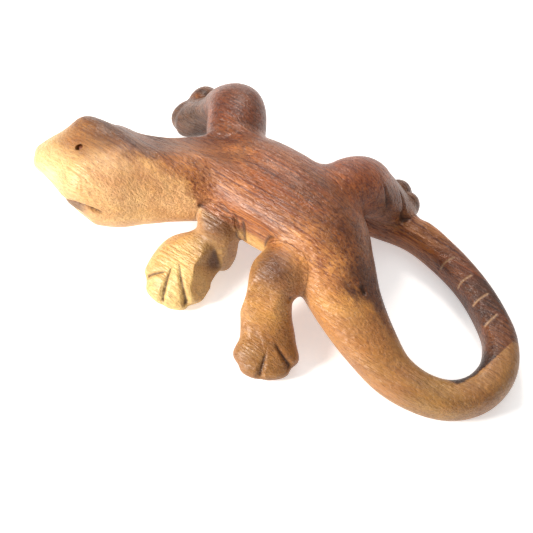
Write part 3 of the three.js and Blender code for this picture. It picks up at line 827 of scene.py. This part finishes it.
def oiled_timber(name):
    """Coarse open-pored hardwood, filed and rubbed with oil: a satin sheen broken up by
    pores and rasp marks, red-brown streaked heartwood and plainer straw-coloured sapwood. The colour also holds
    painted light and shade from the tone notes, and painted shade in hollows."""
    mat = bpy.data.materials.new(name)
    mat.use_nodes = True
    t = mat.node_tree
    t.nodes.clear()
    where = add(t, "ShaderNodeTexCoord").outputs["Object"]
    heart = add(t, "ShaderNodeAttribute", {"attribute_name": "heartwood"}).outputs["Fac"]
    cavity_depth = add(t, "ShaderNodeAttribute", {"attribute_name": "painted_cavity_shade"}).outputs["Fac"]
    scored = add(t, "ShaderNodeAttribute", {"attribute_name": "score"}).outputs["Fac"]
    sap_tone_and_painted_light = add(t, "ShaderNodeAttribute", {"attribute_name": "sap_tone_and_painted_light"}).outputs["Color"]
    heart_tone_and_painted_light = add(t, "ShaderNodeAttribute", {"attribute_name": "heart_tone_and_painted_light"}).outputs["Color"]

    def figure_in(x, y, z, detail, rough, distortion=0.0):
        """Noise drawn out along the grain; scales are in features per metre."""
        at = add(t, "ShaderNodeMapping", links={"Vector": where, "Scale": (x, y, z)}).outputs["Vector"]
        return add(t, "ShaderNodeTexNoise", links={"Vector": at, "Scale": 1.0, "Detail": detail,
                                                   "Roughness": rough, "Distortion": distortion}).outputs["Fac"]

    def between(value, a, b, c, d):
        return add(t, "ShaderNodeMapRange", links={"Value": value, "From Min": a, "From Max": b,
                                                   "To Min": c, "To Max": d}).outputs["Result"]

    def maths(op, *values):
        return add(t, "ShaderNodeMath", {"operation": op}, dict(enumerate(values))).outputs[0]

    def blend(kind, amount, under, over):
        return add(t, "ShaderNodeMix", {"data_type": "RGBA", "blend_type": kind},
                   {0: amount, 6: under, 7: over}).outputs[2]

    # growth bands, about 3 mm apart across the grain and 60 mm long
    bands = figure_in(13, 330, 330, 4.0, 0.6, 0.3)
    # fibre, about 0.8 mm across and 20 mm long
    fibre = figure_in(55, 1250, 1250, 3.0, 0.6)
    # open pores, 0.3 mm across and 3 mm long
    pore = figure_in(340, 3000, 3000, 1.0, 0.5)
    mottle = figure_in(70, 140, 140, 4.0, 0.6)
    # dark lines in the heartwood, 0.7 mm wide and 40 mm long
    line = figure_in(24, 1350, 1350, 2.0, 0.5, 0.2)
    pores = between(pore, 0.58, 0.68, 0.0, 1.0)

    border = maths("MULTIPLY_ADD", maths("SUBTRACT", bands, 0.5), 1.1, heart)
    border = between(border, 0.2, 0.8, 0.0, 1.0)
    colour = blend("MIX", border, sap_tone_and_painted_light, heart_tone_and_painted_light)
    # light and dark of the bands, stronger in the heartwood
    swing = between(heart, 0, 1, 0.35, 0.8)
    streak = maths("MULTIPLY_ADD", maths("SUBTRACT", bands, 0.52), 3.6, 0.0)
    streak = maths("MULTIPLY", streak, swing)
    dark = between(streak, 0.0, 1.0, 0.0, 1.0)
    light = between(streak, 0.0, -1.0, 0.0, 1.0)
    colour = blend("MULTIPLY", dark, colour, linear("#b07a58"))
    colour = blend("SOFT_LIGHT", light, colour, linear("#ffe2b8"))
    dark_lines = maths("MULTIPLY", between(line, 0.52, 0.64, 0.0, 0.7), between(heart, 0.0, 1.0, 0.12, 1.0))
    colour = blend("MULTIPLY", dark_lines, colour, linear("#9a6242"))
    patch = between(mottle, 0.35, 0.65, 0.0, 0.5)
    colour = blend("MULTIPLY", patch, colour, linear("#d9b592"))
    threads = between(fibre, 0.45, 0.68, 0.0, 0.55)
    figured = between(heart, 0.0, 1.0, 0.45, 1.0)
    colour = blend("MULTIPLY", maths("MULTIPLY", threads, figured), colour, linear("#a87650"))
    pitted = maths("MULTIPLY", pores, maths("MULTIPLY", figured, 0.6))
    colour = blend("MULTIPLY", pitted, colour, linear("#8a5a38"))
    colour = blend("MULTIPLY", heart, colour, linear("#fffbdc"))
    # painted shade: hollows, creases, the lower jaw and the knot pit are mixed towards dark brown
    painted_shade_mix = between(cavity_depth, 0.12, 1.0, 0.0, 0.8)
    colour = blend("MIX", painted_shade_mix, colour, linear("#4b2a15"))
    # ridges and rounded edges are made lighter
    lighter_on_ridges = between(cavity_depth, -0.1, -0.8, 0.0, 0.35)
    colour = blend("SOFT_LIGHT", lighter_on_ridges, colour, linear("#ffe9c8"))
    colour = blend("MIX", maths("MULTIPLY", scored, 0.9), colour, linear("#b8906a"))
    height = maths("MULTIPLY_ADD", pores, -0.9, maths("MULTIPLY", fibre, 2.0))
    height = maths("MULTIPLY_ADD", line, -1.2, height)
    # chatter of the rasp, 1.5 mm apart
    chatter = figure_in(420, 680, 680, 2.0, 0.5)
    height = maths("MULTIPLY_ADD", chatter, 2.6, height)
    bump = add(t, "ShaderNodeBump", links={"Strength": 0.55, "Distance": 0.00045, "Height": height})
    rough = between(fibre, 0.3, 0.7, 0.3, 0.44)
    shader = add(t, "ShaderNodeBsdfPrincipled", links={
        "Base Color": colour, "Roughness": rough, "IOR": 1.5, "Normal": bump.outputs["Normal"],
        "Specular IOR Level": 0.5, "Coat Weight": 0.1, "Coat Roughness": 0.3})
    add(t, "ShaderNodeOutputMaterial", links={"Surface": shader.outputs["BSDF"]})
    return mat


timber = oiled_timber("two_tone_oiled_timber_with_painted_light_and_shade")
for name, obj in pieces.items():
    finish_piece(name, obj)
    obj.data.materials.clear()
    obj.data.materials.append(timber)
    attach(obj, "root")
    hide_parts(name)

# ---------------------------------------------------------------- pegs and eyes
# Two turned birch dowels hold each leg and one holds the end of the tail; they are
# hidden in their holes. A polished red-brown pin in a blind hole is each eye.


def turned_peg(name, pale, dark, rough):
    """Close-grained wood turned to a rod: fine straight lines and a dull to soft shine."""
    mat = bpy.data.materials.new(name)
    mat.use_nodes = True
    t = mat.node_tree
    t.nodes.clear()
    where = add(t, "ShaderNodeTexCoord").outputs["Object"]
    # straight grain along a peg, 0.4 mm lines
    line = add(t, "ShaderNodeMapping", links={"Vector": where, "Scale": (900, 300, 900)}).outputs["Vector"]
    grain = add(t, "ShaderNodeTexNoise", links={"Vector": line, "Scale": 1.0, "Detail": 3.0}).outputs["Fac"]
    colour = ramp(t, grain, [(0.3, linear(dark)), (0.7, linear(pale))])
    bump = add(t, "ShaderNodeBump", links={"Strength": 0.2, "Distance": 0.0001, "Height": grain})
    shader = add(t, "ShaderNodeBsdfPrincipled", links={"Base Color": colour, "Roughness": rough, "IOR": 1.5,
                                                       "Normal": bump.outputs["Normal"]})
    add(t, "ShaderNodeOutputMaterial", links={"Surface": shader.outputs["BSDF"]})
    return mat


def eye_pin(name, at, out):
    """A domed pin, its head level with the wood around it."""
    n = unit(out)
    beside = np.asarray(at) + n * 8 + unit(np.cross(n, [1, 0, 0])) * 1.9
    top = body_tree.ray_cast(Vector(beside), Vector(-n))
    rise = (np.array(top[0]) - np.asarray(at)) @ n - 0.25
    u = unit(np.cross(n, [0.31, 0.52, 0.79]))
    v = np.cross(n, u)
    around = 32
    profile = [(1.05, -4.6), (1.1, -4.4), (1.1, rise - 0.35), (1.0, rise - 0.1),
               (0.7, rise + 0.12), (0.35, rise + 0.22)]
    verts = [np.asarray(at) + n * h + (u * math.cos(2 * math.pi * j / around)
                                       + v * math.sin(2 * math.pi * j / around)) * r
             for r, h in profile for j in range(around)]
    verts += [np.asarray(at) + n * (rise + 0.25), np.asarray(at) - n * 4.6]
    faces = []
    for i in range(len(profile) - 1):
        for j in range(around):
            k = (j + 1) % around
            faces.append((i * around + j, i * around + k, (i + 1) * around + k, (i + 1) * around + j))
    crown = len(profile) * around
    for j in range(around):
        k = (j + 1) % around
        faces.append((crown - around + j, crown - around + k, crown))
        faces.append((k, j, crown + 1))
    obj = mesh_of(name, (np.asarray(verts) + CARVER_ZERO) * MM, faces)
    obj.data.polygons.foreach_set("use_smooth", [True] * len(obj.data.polygons))
    obj.data.set_sharp_from_angle(angle=math.radians(50))
    obj.data.materials.append(pin)
    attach(obj, "root")
    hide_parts("eye_peg_" + name.rsplit("_", 1)[1])


birch = turned_peg("birch_dowel_turned", "#d8b98a", "#b98f5c", 0.6)
pin = turned_peg("red_brown_pin_polished", "#7c4428", "#542a18", 0.4)
body_mesh = pieces["body"].data
body_points = points_of(pieces["body"]) / MM - CARVER_ZERO
body_faces = [tuple(q.vertices) for q in body_mesh.polygons]
body_tree = BVHTree.FromPolygons([Vector(x) for x in body_points], body_faces)
for side, (at, out) in EYES.items():
    eye_pin("eye_pin_" + side, at, out)
for name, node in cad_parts.items():
    if name.startswith("dowel_"):
        node.data.materials.clear()
        node.data.materials.append(birch)

# ------------------------------------------------------------ floor, light, camera
# A plain pale table, a broad soft window to the left, a fill and the sky.
floor = mesh_of("floor", [(-3, -3, 0), (3, -3, 0), (3, 3, 0), (-3, 3, 0)], [(0, 1, 2, 3)])
paper = bpy.data.materials.new("matt_white_paper")
paper.use_nodes = True
sheet = paper.node_tree.nodes["Principled BSDF"]
sheet.inputs["Base Color"].default_value = linear("#fbfbfb")
sheet.inputs["Roughness"].default_value = 0.9
sheet.inputs["Specular IOR Level"].default_value = 0.1
sheet.inputs["Emission Color"].default_value = (1, 1, 1, 1)
sheet.inputs["Emission Strength"].default_value = 0.45
floor.data.materials.append(paper)


def lamp(name, place, target, size, power, colour=(1, 1, 1)):
    data = bpy.data.lights.new(name, "AREA")
    data.shape = "SQUARE"
    data.size = size
    data.energy = power
    data.color = colour
    obj = bpy.data.objects.new(name, data)
    obj.location = place
    obj.rotation_euler = (Vector(target) - Vector(place)).to_track_quat("-Z", "Y").to_euler()
    bpy.context.collection.objects.link(obj)
    return obj


lamp("window", (-0.26, -0.44, 0.27), (-0.02, 0, 0.01), 0.14, 4.4, (1.0, 0.97, 0.92))
lamp("gleam", (-0.26, 0.35, 0.42), (-0.03, 0.01, 0.03), 0.11, 1.7, (1.0, 0.9, 0.82))
lamp("sky_fill", (-0.1, 0.35, 0.8), (0, 0, 0), 0.6, 1.7, (1.0, 0.97, 0.95))
world = bpy.data.worlds.new("room")
world.use_nodes = True
world.node_tree.nodes["Background"].inputs["Color"].default_value = (1, 1, 1, 1)
world.node_tree.nodes["Background"].inputs["Strength"].default_value = 0.32
bpy.context.scene.world = world
bpy.context.scene.view_settings.view_transform = "Standard"

AZIMUTH = math.radians(37.5)
ELEVATION = math.radians(54)
DISTANCE = 0.38
aim = Vector(CARVER_ZERO * MM)
back = Vector((math.sin(AZIMUTH) * math.cos(ELEVATION), -math.cos(AZIMUTH) * math.cos(ELEVATION),
               math.sin(ELEVATION)))
cam_data = bpy.data.cameras.new("camera")
cam_data.sensor_width = 36
cam_data.lens = 36 * 1000 / 533
camera = bpy.data.objects.new("camera", cam_data)
camera.location = aim + back * DISTANCE
camera.rotation_euler = (-back).to_track_quat("-Z", "Y").to_euler()
bpy.context.collection.objects.link(camera)
bpy.context.scene.camera = camera
